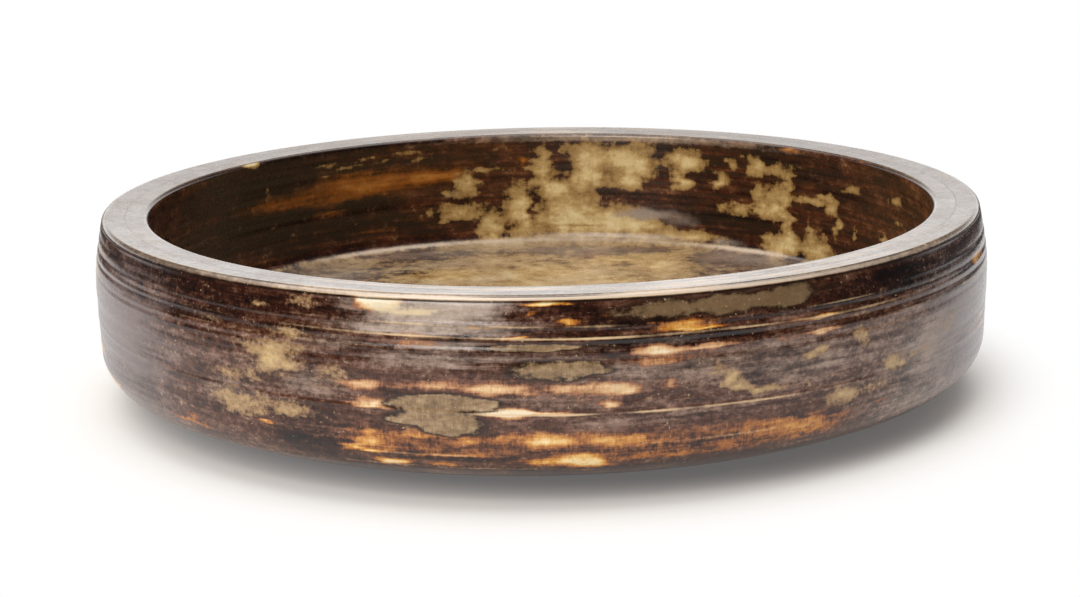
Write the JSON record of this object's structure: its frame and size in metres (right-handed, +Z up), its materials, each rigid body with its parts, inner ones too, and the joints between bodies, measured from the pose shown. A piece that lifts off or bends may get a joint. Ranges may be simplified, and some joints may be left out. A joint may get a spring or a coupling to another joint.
{
  "type": "stoneware bowl",
  "caption": "Low wide stoneware bowl with a thick flat rim, a gently swelling wall, a rounded heel and a turned foot, glazed inside and out.",
  "frame": {"origin": "centre of the foot's resting face, at the middle of the bowl", "axes": "+Z up along the axis the bowl was thrown on; +X to the right and +Y away from the viewer of the picture"},
  "size_m": [0.2242, 0.2242, 0.0476],
  "materials": {
    "fired_clay": "bare fired stoneware clay, matt and slightly gritty",
    "outside_glaze": "glossy dark brown glaze with amber streaks and sandy patches",
    "inside_glaze": "glossy glaze, sandy on the floor and mottled dark brown on the wall"
  },
  "bodies": {
    "root": {"stoneware_body": "fired_clay", "outside_glaze": "outside_glaze", "inside_glaze": "inside_glaze"}
  },
  "joints": []
}
